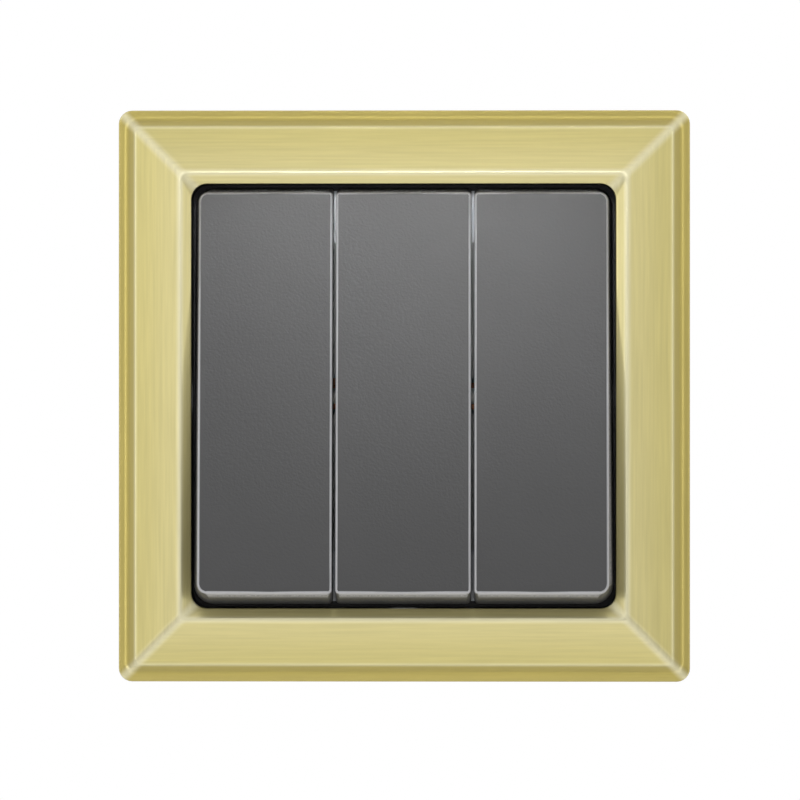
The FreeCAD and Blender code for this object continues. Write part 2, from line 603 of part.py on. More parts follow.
def busbar():
    """The common strip: three fulcrums in a row, and a tail to the common terminal."""
    half, reach = BUSBAR_WIDTH / 2, INNER_X - BUSBAR_GAP
    back = BUSBAR_Y + STRIP
    pieces = [block(-reach, reach, BUSBAR_Y, back, -half, half)]
    length = LEVER_WIDTH + 2 * FULCRUM_MARGIN
    root = BUSBAR_Y + STRIP / 2
    for centre in BAYS.values():
        x = centre - length / 2
        ridge = [
            Vec(x, FULCRUM_Y, -FULCRUM_R),
            Vec(x, FULCRUM_Y, FULCRUM_R),
            Vec(x, root, 3 * FULCRUM_R),
            Vec(x, root, -3 * FULCRUM_R),
        ]
        pieces.append(polygon_prism(ridge, X_AXIS * length))
        pieces.append(cylinder(FULCRUM_R, Vec(x, FULCRUM_Y, 0), X_AXIS, length))
    x, sign = TERMINALS["common"]
    link_outer = -CRADLE_PITCH + length / 2
    link_inner = -CRADLE_PITCH / 2 - PARTITION
    pieces.append(block(link_outer, link_inner, BUSBAR_Y, back, 0, sign * CROSSOVER_Z))
    return fuse(pieces + terminal_tail(x, sign, BUSBAR_Y))


def output_strip(side):
    """A strip from a fixed contact to its terminal, stepping sideways in front of the walls."""
    centre, (x, sign) = BAYS[side], TERMINALS[side]
    half, cross = OUTPUT_WIDTH / 2, CROSSOVER_WIDTH / 2
    front, back = OUTPUT_DEPTH, OUTPUT_DEPTH + STRIP
    run = block(centre - half, centre + half, front, back,
                -CONTACT_OFFSET - sign * half, sign * (CROSSOVER_Z + cross))
    far = centre - half if x > centre else centre + half
    step = block(far, x, front, back, sign * (CROSSOVER_Z - cross), sign * (CROSSOVER_Z + cross))
    return fuse([run, step] + terminal_tail(x, sign, front))


# ---------------------------------------------------------------------------------------------
# Insert: bearing plate, ring, housing
# ---------------------------------------------------------------------------------------------
def rivet_tabs(y0, y1):
    """Four tabs at the top and bottom, for the rivets."""
    half = RIVET_HEAD_R + TAB_MARGIN
    tabs = []
    for x in (-RIVET_X, RIVET_X):
        for sign in (-1, 1):
            tabs.append(block(x - half, x + half, y0, y1, sign * INNER_Z, sign * TAB_Z))
    return tabs


def rivet_places():
    return [(x, z) for x in (-RIVET_X, RIVET_X) for z in (-RIVET_Z, RIVET_Z)]


def rivet_bores():
    return [bore(RIVET_R, x, z) for x, z in rivet_places()]


def bearing_plate():
    """Front cover of the insert, with four ribs that hold the cradles' trunnions."""
    half_x = INNER_X + PLATE_MARGIN
    half_z = INNER_Z + PLATE_MARGIN
    back, front = -RING_THICKNESS, -PLATE_FRONT
    pieces = [octagon(half_x, half_z, INNER_CHAMFER, back, front)]
    pieces += rivet_tabs(back, front)
    wing = 1.5 * CRADLE_PITCH + BEARING_RIB
    pieces.append(block(-wing, wing, back, front, -WING_HEIGHT / 2, WING_HEIGHT / 2))
    plug = INNER_Z - SPIGOT_GAP
    for sign in (-1, 1):
        pieces.append(block(-SPIGOT_WIDTH / 2, SPIGOT_WIDTH / 2, back - ROOT, SPIGOT_DEPTH,
                            sign * plug, sign * (plug - SPIGOT_THICKNESS)))
    body = fuse(pieces)
    window = CRADLE_PITCH / 2 - BEARING_RIB / 2
    tube = TUBE_R + TUBE_ROOM
    cheek = TRUNNION_R + EYE_WALL + TUBE_ROOM
    for centre in BAYS.values():
        body = body.cut(block(centre - window, centre + window, -THROUGH, THROUGH, -cheek, cheek))
        body = body.cut(block(centre - tube, centre + tube, -THROUGH, THROUGH, -tube, tube))
    rib_front = PIVOT_HEIGHT + TRUNNION_R + EYE_WALL
    ribs = []
    for step in (-1.5, -0.5, 0.5, 1.5):
        x = step * CRADLE_PITCH
        ribs.append(block(x - BEARING_RIB / 2, x + BEARING_RIB / 2, back, -rib_front,
                          -RIB_LENGTH / 2, RIB_LENGTH / 2))
    body = fuse([body] + ribs)
    seat = cylinder(TRUNNION_R + RUNNING, PIVOT - X_AXIS * THROUGH, X_AXIS, 2 * THROUGH)
    mouth = block(-THROUGH, THROUGH, -PIVOT_HEIGHT, -THROUGH, -SNAP_SLOT / 2, SNAP_SLOT / 2)
    return body.cut([seat, mouth] + rivet_bores())


def ring_lug():
    """A raised clip lug at the ring's edge, joggled clear of the wall."""
    edge, t = RING_WIDTH / 2, RING_THICKNESS
    root = edge - LUG_DEPTH
    z = LUG_Z - LUG_WIDTH / 2
    profile = [
        (root - ROOT, 0.0), (root + LUG_HEEL, 0.0), (root + LUG_HEEL + LUG_BEND, LUG_JOGGLE),
        (edge, LUG_JOGGLE), (edge, LUG_JOGGLE + t), (root + LUG_BEND, LUG_JOGGLE + t),
        (root, t), (root - ROOT, t),
    ]
    return polygon_prism([Vec(x, -height, z) for x, height in profile], Vec(0, 0, LUG_WIDTH))


def support_ring():
    """Zinc-plated steel ring that carries the insert and is screwed to the wall box."""
    body = square_prism(RING_WIDTH / 2, RING_CORNER, 0.0, RING_THICKNESS)
    body = body.cut(octagon(INNER_X, INNER_Z, INNER_CHAMFER, -THROUGH, THROUGH))
    edge = RING_WIDTH / 2
    half = LUG_WIDTH / 2 + LUG_SLIT
    notch = block(edge - LUG_DEPTH, THROUGH, -THROUGH, THROUGH, LUG_Z - half, LUG_Z + half)
    body = fuse([body.cut(four_ways(notch))] + four_ways(ring_lug()))
    slots = [turned(box_slot(), Vec(0, 0, 0), Y_AXIS, angle) for angle in (0, 90, 180, 270)]
    screw_holes = both_ways(bore(SCREW_R + SCREW_CLEARANCE, SCREW_X, CLAW_Z))
    return body.cut(slots + screw_holes + rivet_bores())


def box_slot():
    """A long hole for the box screw at the right-hand side of the ring."""
    reach, half = BOX_SCREW_SPACING / 2, SLOT_WIDTH / 2
    run = SLOT_LENGTH / 2 - half
    middle = block(reach - run, reach + run, -THROUGH, THROUGH, -half, half)
    return fuse([middle, bore(half, reach - run, 0), bore(half, reach + run, 0)])


def insert_rivets():
    """Four hollow rivets through bearing plate, ring and housing."""
    rivets = []
    top, bottom = -PLATE_FRONT, TAB_THICKNESS
    for x, z in rivet_places():
        shank = cylinder(RIVET_R, Vec(x, top, z), Y_AXIS, bottom - top)
        ends = (top - RIVET_HEAD, bottom)
        heads = [cylinder(RIVET_HEAD_R, Vec(x, y, z), Y_AXIS, RIVET_HEAD) for y in ends]
        rivets.append(fuse([shank] + heads).cut(bore(RIVET_BORE_R, x, z)))
    return Part.makeCompound(rivets)


def claw_pocket(wall):
    """The recess for a claw in the housing's side; with a wall, the bulge that it makes inside."""
    half = CLAW_WIDTH / 2 + CLAW_SIDE_GAP + PIN_LUG + wall
    return block(POCKET_X - wall, THROUGH, TAB_THICKNESS - wall, THROUGH, CLAW_Z - half, CLAW_Z + half)


def pin_lugs():
    """Two bearing lugs for a claw's pivot pin."""
    hole = cylinder(CLAW_PIN_R, Vec(CLAW_PIVOT_X, CLAW_PIVOT_Y, -THROUGH), Z_AXIS, 2 * THROUGH)
    lugs = []
    for sign in (-1, 1):
        near = CLAW_Z + sign * (CLAW_WIDTH / 2 + CLAW_SIDE_GAP)
        ear = block(POCKET_X - ROOT, CLAW_PIVOT_X, CLAW_PIVOT_Y - PIN_LUG_R, CLAW_PIVOT_Y + PIN_LUG_R,
                    near, near + sign * PIN_LUG)
        eye = cylinder(PIN_LUG_R, Vec(CLAW_PIVOT_X, CLAW_PIVOT_Y, near), Z_AXIS * sign, PIN_LUG)
        lugs.append(fuse([ear, eye]).cut(hole))
    return lugs


def wire_entry(x, z):
    """A square entry with a funnel mouth at the back of the housing."""
    half = WIRE_ENTRY / 2
    wide = half + WIRE_LEAD_IN
    corners = [ENTRY_CORNER] * 4
    shaft = block(x - half, x + half, FLOOR_Y - ROOT, THROUGH, z - half, z + half)
    mouth = stack([
        outline(x - half, x + half, z - half, z + half, corners, HOUSING_DEPTH - WIRE_LEAD_IN),
        outline(x - wide, x + wide, z - wide, z + wide, corners, HOUSING_DEPTH),
    ])
    return [shaft, mouth]


def bay_walls():
    """Walls between the bays and chambers, notched for the busbar."""
    half, top, foot = PARTITION / 2, OUTPUT_DEPTH + STRIP + FIT, FLOOR_Y + ROOT
    walls = []
    for x in (-CRADLE_PITCH / 2, CRADLE_PITCH / 2):
        walls.append(block(x - half, x + half, PARTITION_FRONT, foot, -PARTITION_Z, PARTITION_Z))
    for sign in (-1, 1):
        z = sign * PARTITION_Z
        walls.append(block(POCKET_WALL - POCKET_X, POCKET_X - POCKET_WALL, top, foot, z - half, z + half))
        walls.append(block(-half, half, top, foot, z, sign * (INNER_Z + ROOT)))
    reach = BUSBAR_WIDTH / 2 + FIT
    notch = block(-INNER_X, INNER_X, BUSBAR_Y - FIT, BUSBAR_Y + STRIP + FIT, -reach, reach)
    return [wall.cut(notch) for wall in walls]


def insert_housing():
    """The moulded pot behind the ring: three switching bays and four terminal chambers."""
    body = octagon(HOUSING_WIDTH / 2, HOUSING_HEIGHT / 2, HOUSING_CHAMFER, 0, HOUSING_DEPTH)
    body = fuse([body] + rivet_tabs(0, TAB_THICKNESS))
    cavity = octagon(INNER_X, INNER_Z, INNER_CHAMFER, -THROUGH, FLOOR_Y)
    body = body.cut(cavity.cut(both_ways(claw_pocket(POCKET_WALL))))
    body = body.cut(both_ways(claw_pocket(0.0)))
    body = fuse([body] + bay_walls())
    for lug in pin_lugs():
        body = fuse([body] + both_ways(lug))
    wide, tall = RELEASE_WIDTH / 2 + RELEASE_GAP, RELEASE_THICKNESS / 2 + RELEASE_GAP
    cuts = rivet_bores()
    for x, sign in TERMINALS.values():
        z = sign * RELEASE_Z
        cuts.append(block(x - wide, x + wide, FLOOR_Y - ROOT, THROUGH, z - tall, z + tall))
        for step in (-WIRE_SPACING / 2, WIRE_SPACING / 2):
            cuts += wire_entry(x + step, sign * TERMINAL_Z)
    return body.cut(cuts)


# ---------------------------------------------------------------------------------------------
# Terminals
# ---------------------------------------------------------------------------------------------
def leaf_path():
    """Centre line of a clamp leaf in the upper chambers, as (depth, height) points: leg, bend, tongue."""
    anchor_z = PARTITION_Z + PARTITION / 2 + LEAF / 2 + LEAF_GAP
    start = (FLOOR_Y - LEAF_LEG_END, anchor_z)
    centre = (OUTPUT_DEPTH + STRIP + LEAF_BEND + LEAF, anchor_z + LEAF_BEND)
    end = (FLOOR_Y - LEAF_TIP_END, STRIP_OUTER_Z - LEAF_TIP_GAP)
    dy, dz = end[0] - centre[0], end[1] - centre[1]
    slope = math.atan2(dz, dy) - math.asin(LEAF_BEND / math.hypot(dy, dz))
    touch = (centre[0] - LEAF_BEND * math.sin(slope), centre[1] + LEAF_BEND * math.cos(slope))
    halfway = (math.radians(270) + slope + math.pi / 2) / 2
    middle = (centre[0] + LEAF_BEND * math.cos(halfway), centre[1] + LEAF_BEND * math.sin(halfway))
    return start, (centre[0], anchor_z), middle, touch, end, slope


def clamp_spring(x, sign):
    """A bent leaf that presses a wire against the strip."""
    start, bend, middle, touch, end, _ = leaf_path()
    place = [Vec(x - TERMINAL_WIDTH / 2, y, z) for y, z in (start, bend, middle, touch, end)]
    path = Part.Wire([
        Part.LineSegment(place[0], place[1]).toShape(),
        Part.Arc(place[1], place[2], place[3]).toShape(),
        Part.LineSegment(place[3], place[4]).toShape(),
    ])
    y, z = start
    x0, half = x - TERMINAL_WIDTH / 2, LEAF / 2
    section = Part.makePolygon([
        Vec(x0, y, z - half), Vec(x0 + TERMINAL_WIDTH, y, z - half),
        Vec(x0 + TERMINAL_WIDTH, y, z + half), Vec(x0, y, z + half), Vec(x0, y, z - half),
    ])
    leaf = path.makePipeShell([section], True, False)
    return leaf if sign > 0 else leaf.mirror(Vec(0, 0, 0), Z_AXIS)


def release_start():
    """Depth at which a release lever's inner end meets the clamp leaf."""
    _, _, _, touch, _, slope = leaf_path()
    top = RELEASE_Z + RELEASE_THICKNESS / 2
    return touch[0] + (top - touch[1]) / math.tan(slope) + LEAF / 2 / math.sin(slope) + LEAF_GAP


def release_lever(x, sign):
    """A push bar: pressing its outer end lifts the clamp leaf off the wires."""
    z = sign * RELEASE_Z
    half_x, half_z = RELEASE_WIDTH / 2, RELEASE_THICKNESS / 2
    outer = HOUSING_DEPTH + PRESSED_PROUD + RELEASE_TRAVEL
    bar = block(x - half_x, x + half_x, release_start(), outer, z - half_z, z + half_z)
    bar = bar.makeChamfer(RELEASE_CHAMFER, loops_at(bar, -outer))
    back = FLOOR_Y - RELEASE_GAP
    collar = block(x - half_x - RELEASE_COLLAR, x + half_x + RELEASE_COLLAR, back - COLLAR_THICKNESS, back,
                   z - half_z - RELEASE_COLLAR, z + half_z + RELEASE_COLLAR)
    slot = block(x - half_x / 2, x + half_x / 2, outer - BLADE_SLOT_DEPTH, THROUGH,
                 z - BLADE_SLOT / 2, z + BLADE_SLOT / 2)
    return fuse([bar, collar]).cut(slot)


# ---------------------------------------------------------------------------------------------
# Spreader claws
# ---------------------------------------------------------------------------------------------
def claw():
    """The right-hand claw: a bell crank of sheet steel with a slotted tab and a toothed arm."""
    low, high = CLAW_Z - CLAW_WIDTH / 2, CLAW_Z + CLAW_WIDTH / 2
    px, py, half = CLAW_PIVOT_X, CLAW_PIVOT_Y, CLAW_SHEET / 2
    lever = SCREW_X - px
    limit = math.radians(CLAW_SWING)
    swept = SCREW_R + half * math.sin(limit)
    slot_inner = px + (lever - swept) / math.cos(limit) - CLAW_SLOT_GAP
    slot_outer = px + (lever + swept) / math.cos(limit) + CLAW_SLOT_GAP
    eye = cylinder(CLAW_EYE_R, Vec(px, py, low), Z_AXIS, CLAW_WIDTH)
    tab = block(px, slot_outer + TAB_END_WALL, py - half, py + half, low, high)
    end_x, end_y = px + CLAW_ARM_SPLAY, py + CLAW_ARM
    face = end_x + half
    tip = face + CLAW_TOOTH
    arm = [
        Vec(px - half, py, low), Vec(px + half, py, low),
        Vec(face, end_y - CLAW_SHEET, low), Vec(tip, end_y - TOOTH_TIP, low),
        Vec(tip - TOOTH_TIP, end_y, low), Vec(end_x - half, end_y, low),
    ]
    body = fuse([eye, tab, polygon_prism(arm, Vec(0, 0, CLAW_WIDTH))])
    slot_low, slot_high = CLAW_Z - SCREW_R - CLAW_SIDE_GAP, CLAW_Z + SCREW_R + CLAW_SIDE_GAP
    splayed = limit + math.atan2(CLAW_ARM_SPLAY, CLAW_ARM)
    fork = (SCREW_END - py) / math.cos(splayed) + CLAW_SHEET / 2
    cuts = [
        cylinder(CLAW_PIN_R + RUNNING, Vec(px, py, -THROUGH), Z_AXIS, 2 * THROUGH),
        block(slot_inner, slot_outer, py - CLAW_EYE_R, py + CLAW_EYE_R, slot_low, slot_high),
        block(0, THROUGH, py + CLAW_EYE_R + CLAW_SIDE_GAP, py + fork, slot_low, slot_high),
    ]
    pitch = CLAW_WIDTH / TEETH
    half_gap = (pitch - TOOTH_FLAT) / 2
    for k in range(1, TEETH):
        z = low + k * pitch
        notch = [
            Vec(tip, end_y - CLAW_TOOTH, z - half_gap),
            Vec(tip, end_y - CLAW_TOOTH, z + half_gap),
            Vec(face, end_y - CLAW_TOOTH, z),
        ]
        cuts.append(polygon_prism(notch, Y_AXIS * 2 * CLAW_TOOTH))
    return body.cut(cuts)


def claw_screw():
    """Pan-head screw with a cross recess, its head on the ring."""
    seat = -RING_THICKNESS - SEAT
    top = seat - SCREW_HEAD
    shank = cylinder(SCREW_R, Vec(SCREW_X, seat, CLAW_Z), Y_AXIS, SCREW_END - seat)
    head = cylinder(SCREW_HEAD_R, Vec(SCREW_X, top, CLAW_Z), Y_AXIS, SCREW_HEAD)
    head = head.makeFillet(HEAD_ROUND, loops_at(head, -top))
    recess = []
    for half_x, half_z in ((CROSS_LENGTH / 2, CROSS_WIDTH / 2), (CROSS_WIDTH / 2, CROSS_LENGTH / 2)):
        recess.append(block(SCREW_X - half_x, SCREW_X + half_x, -THROUGH, top + CROSS_DEPTH,
                            CLAW_Z - half_z, CLAW_Z + half_z))
    return fuse([shank, head]).cut(recess)


def claw_pin():
    length = CLAW_WIDTH + 2 * (CLAW_SIDE_GAP + PIN_LUG)
    return cylinder(CLAW_PIN_R, Vec(CLAW_PIVOT_X, CLAW_PIVOT_Y, CLAW_Z - length / 2), Z_AXIS, length)


# ---------------------------------------------------------------------------------------------
# Build
# ---------------------------------------------------------------------------------------------
nodes["cover_frame"] = cover_frame()
nodes["frame_carrier"] = frame_carrier()
nodes["support_ring"] = support_ring()
nodes["bearing_plate"] = bearing_plate()
nodes["insert_housing"] = insert_housing()
nodes["insert_rivets"] = insert_rivets()
nodes["common_busbar"] = busbar()

for side, bay in BAYS.items():
    resting = {
        "rocker": rocker_cap(side),
        "cradle": cradle(bay),
        "plunger": plunger(bay),
        "plunger_spring": plunger_spring(bay),
    }
    for name, shape in resting.items():
        nodes[f"{side}_{name}"] = turned(shape, PIVOT, X_AXIS, -TILT)
    nodes[f"{side}_contact_lever"] = turned(contact_lever(bay), FULCRUM, X_AXIS, LEVER_TILT)
    nodes[f"{side}_moving_contact"] = turned(moving_contact(bay), FULCRUM, X_AXIS, LEVER_TILT)
    nodes[f"{side}_output_strip"] = output_strip(side)

nodes["fixed_contact_buttons"] = Part.makeCompound([fixed_button(bay) for bay in BAYS.values()])

for name, (x, sign) in TERMINALS.items():
    nodes[f"{name}_clamp_spring"] = clamp_spring(x, sign)
    nodes[f"{name}_release_lever"] = release_lever(x, sign)

for shape, name in ((claw(), "claw"), (claw_screw(), "claw_screw")):
    right, left = both_ways(shape)
    nodes[f"right_{name}"] = right
    nodes[f"left_{name}"] = left
nodes["claw_pins"] = Part.makeCompound(both_ways(claw_pin()))

os.makedirs("parts", exist_ok=True)
for name, shape in nodes.items():
    shape.exportStep(f"parts/{name}.step")
    solids = shape.Solids
    print(f"{name:24s} solids {len(solids)} valid {shape.isValid()} volume {shape.Volume:9.2f}")
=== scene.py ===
"""A three-gang flush wall switch: brass cover frame, anthracite rockers and the insert behind them."""

import bmesh
import bpy
import json
import math
from mathutils import Matrix, Vector

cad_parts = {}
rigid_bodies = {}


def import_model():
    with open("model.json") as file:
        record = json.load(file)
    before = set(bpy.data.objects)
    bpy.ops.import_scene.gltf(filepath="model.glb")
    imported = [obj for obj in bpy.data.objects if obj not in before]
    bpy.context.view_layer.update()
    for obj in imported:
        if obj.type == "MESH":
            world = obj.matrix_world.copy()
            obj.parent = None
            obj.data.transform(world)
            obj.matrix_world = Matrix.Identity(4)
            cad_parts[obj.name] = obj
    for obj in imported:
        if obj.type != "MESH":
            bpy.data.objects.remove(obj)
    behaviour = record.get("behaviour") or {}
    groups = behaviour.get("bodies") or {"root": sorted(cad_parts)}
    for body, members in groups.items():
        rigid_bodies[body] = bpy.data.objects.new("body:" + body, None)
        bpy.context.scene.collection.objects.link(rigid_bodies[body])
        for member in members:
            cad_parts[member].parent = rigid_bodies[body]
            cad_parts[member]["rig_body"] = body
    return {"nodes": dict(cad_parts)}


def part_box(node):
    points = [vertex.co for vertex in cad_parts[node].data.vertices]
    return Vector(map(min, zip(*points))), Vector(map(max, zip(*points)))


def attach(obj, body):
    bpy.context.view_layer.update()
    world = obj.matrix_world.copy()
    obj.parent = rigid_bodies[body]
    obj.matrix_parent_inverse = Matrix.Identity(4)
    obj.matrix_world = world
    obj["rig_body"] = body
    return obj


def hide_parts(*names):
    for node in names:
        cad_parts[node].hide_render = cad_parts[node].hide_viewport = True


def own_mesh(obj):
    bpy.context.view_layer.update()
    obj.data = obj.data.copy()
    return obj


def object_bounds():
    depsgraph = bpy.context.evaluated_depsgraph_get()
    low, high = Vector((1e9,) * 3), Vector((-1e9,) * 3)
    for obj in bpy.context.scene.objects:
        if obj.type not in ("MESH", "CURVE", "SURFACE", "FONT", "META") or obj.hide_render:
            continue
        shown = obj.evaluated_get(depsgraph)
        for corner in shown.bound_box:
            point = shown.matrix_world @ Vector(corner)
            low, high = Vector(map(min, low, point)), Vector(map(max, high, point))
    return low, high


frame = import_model()
cad_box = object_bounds()
nodes = frame["nodes"]
scene = bpy.context.scene

# ---------------------------------------------------------------------------------------------
# Room: the switch hangs in plain white, above a pale floor.
# Strip lights above, below and at both sides draw its edges; panels fill the front, foot and back.
# A narrow snoot lights the rockers' upper halves, and one panel lights the floor alone.
# ---------------------------------------------------------------------------------------------
scene.view_settings.view_transform = "Standard"


def add_node(tree, kind, inputs=(), **settings):
    """Adds a shader node. An input takes a plain value or another node's output."""
    made = tree.nodes.new(kind)
    for name, value in settings.items():
        setattr(made, name, value)
    for name, value in dict(inputs).items():
        if isinstance(value, bpy.types.NodeSocket):
            tree.links.new(value, made.inputs[name])
        else:
            made.inputs[name].default_value = value
    return made


world = bpy.data.worlds.new("white_studio")
world.use_nodes = True
scene.world = world
tree = world.node_tree
tree.nodes.clear()
rays = add_node(tree, "ShaderNodeLightPath")
glossy, through = rays.outputs["Is Glossy Ray"], rays.outputs["Is Transmission Ray"]
mirrored = add_node(tree, "ShaderNodeMath", {0: glossy, 1: through}, operation="MAXIMUM")
direct = add_node(tree, "ShaderNodeMath", {0: rays.outputs["Is Camera Ray"], 1: mirrored.outputs[0]},
                  operation="MAXIMUM")
ambient = add_node(tree, "ShaderNodeBackground", {"Color": (1, 1, 1, 1), "Strength": 0.5})
seen = add_node(tree, "ShaderNodeBackground", {"Color": (1, 1, 1, 1), "Strength": 1.0})
mix = add_node(tree, "ShaderNodeMixShader", {0: direct.outputs[0], 1: ambient.outputs[0], 2: seen.outputs[0]})
add_node(tree, "ShaderNodeOutputWorld", {"Surface": mix.outputs[0]})


def soft_panel(name, place, width, height, watts, aim=(0.0, 0.0, 0.0), spread=180.0):
    """A rectangular softbox, with the opening angle of its grid."""
    data = bpy.data.lights.new(name, "AREA")
    data.shape = "RECTANGLE"
    data.size, data.size_y = width, height
    data.energy = watts
    data.spread = math.radians(spread)
    panel = bpy.data.objects.new(name, data)
    panel.location = place
    panel.rotation_mode = "QUATERNION"
    panel.rotation_quaternion = (Vector(aim) - Vector(place)).to_track_quat("-Z", "Y")
    scene.collection.objects.link(panel)


soft_panel("top_strip", (0.0, -0.12, 0.45), 0.6, 0.03, 0.36)
soft_panel("low_strip", (0.0, -0.12, -0.45), 0.6, 0.03, 0.45)
soft_panel("left_strip", (-0.45, -0.12, 0.0), 0.03, 0.6, 0.58)
soft_panel("right_strip", (0.45, -0.12, 0.0), 0.03, 0.6, 0.42)
soft_panel("front_panel", (-0.5, -0.8, 0.1), 0.4, 0.4, 0.45)
soft_panel("gradient_snoot", (0.0, -0.5, 0.17), 0.08, 0.08, 0.0075, aim=(0.0, 0.0, 0.05), spread=14.0)
soft_panel("low_panel", (0.0, -0.7, -0.4), 0.4, 0.2, 2.0)
soft_panel("floor_panel", (0.0, -0.2, -0.12), 0.5, 0.4, 0.85, aim=(0.0, -0.2, -1.0))
soft_panel("back_panel", (0.3, 0.7, 0.4), 0.6, 0.6, 1.6)

floor_half, floor_drop = 3.0, 0.25
floor_mesh = bpy.data.meshes.new("floor")
bm = bmesh.new()
bmesh.ops.create_grid(bm, x_segments=1, y_segments=1, size=floor_half)
bmesh.ops.translate(bm, verts=bm.verts, vec=(0, 0, cad_box[0].z - floor_drop))
bm.to_mesh(floor_mesh)
bm.free()
floor = bpy.data.objects.new("floor", floor_mesh)
scene.collection.objects.link(floor)
paper = bpy.data.materials.new("pale_paper")
paper.use_nodes = True
paper_shader = paper.node_tree.nodes["Principled BSDF"]
paper_shader.inputs["Base Color"].default_value = (0.85, 0.85, 0.85, 1)
paper_shader.inputs["Roughness"].default_value = 0.9
floor_mesh.materials.append(paper)

# The camera looks straight at the switch, from a little right of its middle.
camera_data = bpy.data.cameras.new("camera")
camera = bpy.data.objects.new("camera", camera_data)
scene.collection.objects.link(camera)
camera_data.sensor_width = 36.0
camera_data.lens = 270.0
camera.location = (0.016, -0.9, 0.0)
camera.rotation_mode = "QUATERNION"
camera_aim = Vector((-0.00066, 0.0, -0.0006))
camera.rotation_quaternion = (camera_aim - camera.location).to_track_quat("-Z", "Y")
scene.camera = camera

# ---------------------------------------------------------------------------------------------
# Cover frame: a square moulding of brass sheet with mitred corners, hollow behind.
# Upright rim, cove, step, broad sloping face, crest and inner bevel; brushed along each side.
# ---------------------------------------------------------------------------------------------
MM = 0.001


def arcs(points, radii, steps=5):
    """A broken line in a plane with its inner corners rounded by tangent arcs."""
    line = [points[0]]
    for before, corner, after, radius in zip(points, points[1:], points[2:], radii):
        back, on = (before - corner).normalized(), (after - corner).normalized()
        half = back.angle(on) / 2
        centre = corner + (back + on).normalized() * radius / math.sin(half)
        start = corner + back * radius / math.tan(half) - centre
        turn = start.angle_signed(corner + on * radius / math.tan(half) - centre)
        for k in range(steps + 1):
            line.append(centre + Matrix.Rotation(-turn * k / steps, 2) @ start)
    return line + [points[-1]]


def rounded_square(bm, half, corner, height):
    """Adds the outline of a centred rounded square at a height above the wall, and gives its edges."""
    old_verts, old_edges = set(bm.verts), set(bm.edges)
    corners = bmesh.ops.create_grid(bm, x_segments=1, y_segments=1, size=half)["verts"]
    bmesh.ops.bevel(bm, geom=corners, offset=corner, offset_type="OFFSET", segments=6, profile=0.5,
                    affect="VERTICES", material=-1)
    verts = [v for v in bm.verts if v not in old_verts]
    edges = [e for e in bm.edges if e not in old_edges]
    bmesh.ops.rotate(bm, verts=verts, cent=(0, 0, 0), matrix=Matrix.Rotation(math.radians(90), 3, "X"))
    bmesh.ops.translate(bm, verts=verts, vec=(0, -height, 0))
    bmesh.ops.delete(bm, geom=list({f for e in edges for f in e.link_faces}), context="FACES_ONLY")
    return edges


def smooth_by_angle(bm, degrees):
    """Smooth shading, with the edges that turn more than an angle left sharp."""
    for face in bm.faces:
        face.smooth = True
    for edge in bm.edges:
        edge.smooth = not edge.is_manifold or edge.calc_face_angle(0) < math.radians(degrees)


def new_piece(bm, node, material):
    """Turns a finished bmesh into the piece that stands for a CAD node and rides its body."""
    mesh = bpy.data.meshes.new(node + "_finish")
    bm.to_mesh(mesh)
    bm.free()
    mesh.materials.append(material)
    piece = bpy.data.objects.new(node + "_finish", mesh)
    scene.collection.objects.link(piece)
    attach(piece, nodes[node]["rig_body"])
    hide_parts(node)
    piece.modifiers.new("flat_faces", "WEIGHTED_NORMAL").keep_sharp = True
    return piece


def finish(name, colour, roughness, metallic=0.0):
    """A material with its tree, its Principled shader and the piece's own coordinates."""
    material = bpy.data.materials.new(name)
    material.use_nodes = True
    tree = material.node_tree
    shader = tree.nodes["Principled BSDF"]
    shader.inputs["Base Color"].default_value = (*colour, 1)
    shader.inputs["Roughness"].default_value = roughness
    shader.inputs["Metallic"].default_value = metallic
    return material, tree, shader, tree.nodes.new("ShaderNodeTexCoord").outputs["Object"]


def noise(tree, coordinates, scale, stretch=(1, 1, 1), detail=3.0):
    """Fractal noise along stretched coordinates."""
    spread = add_node(tree, "ShaderNodeVectorMath", {0: coordinates, 1: stretch}, operation="MULTIPLY")
    grain = {"Vector": spread.outputs[0], "Scale": scale, "Detail": detail}
    return add_node(tree, "ShaderNodeTexNoise", grain)


def vary(tree, shader, socket, source, low, high):
    """Drives a shader's input between two values or colours from a noise that runs about 0.3 to 0.7."""
    if isinstance(low, tuple):
        share = add_node(tree, "ShaderNodeMapRange", {0: source, 1: 0.3, 2: 0.7}, clamp=True)
        colours = {0: share.outputs[0], 6: (*low, 1), 7: (*high, 1)}
        blend = add_node(tree, "ShaderNodeMix", colours, data_type="RGBA")
        tree.links.new(blend.outputs[2], shader.inputs[socket])
    else:
        level = add_node(tree, "ShaderNodeMapRange", {0: source, 1: 0.3, 2: 0.7, 3: low, 4: high}, clamp=True)
        tree.links.new(level.outputs[0], shader.inputs[socket])


def relief(tree, shader, source, height):
    """Raises the surface by a noise, to a height in metres."""
    bump = add_node(tree, "ShaderNodeBump", {"Height": source, "Distance": height, "Strength": 1.0})
    tree.links.new(bump.outputs[0], shader.inputs["Normal"])


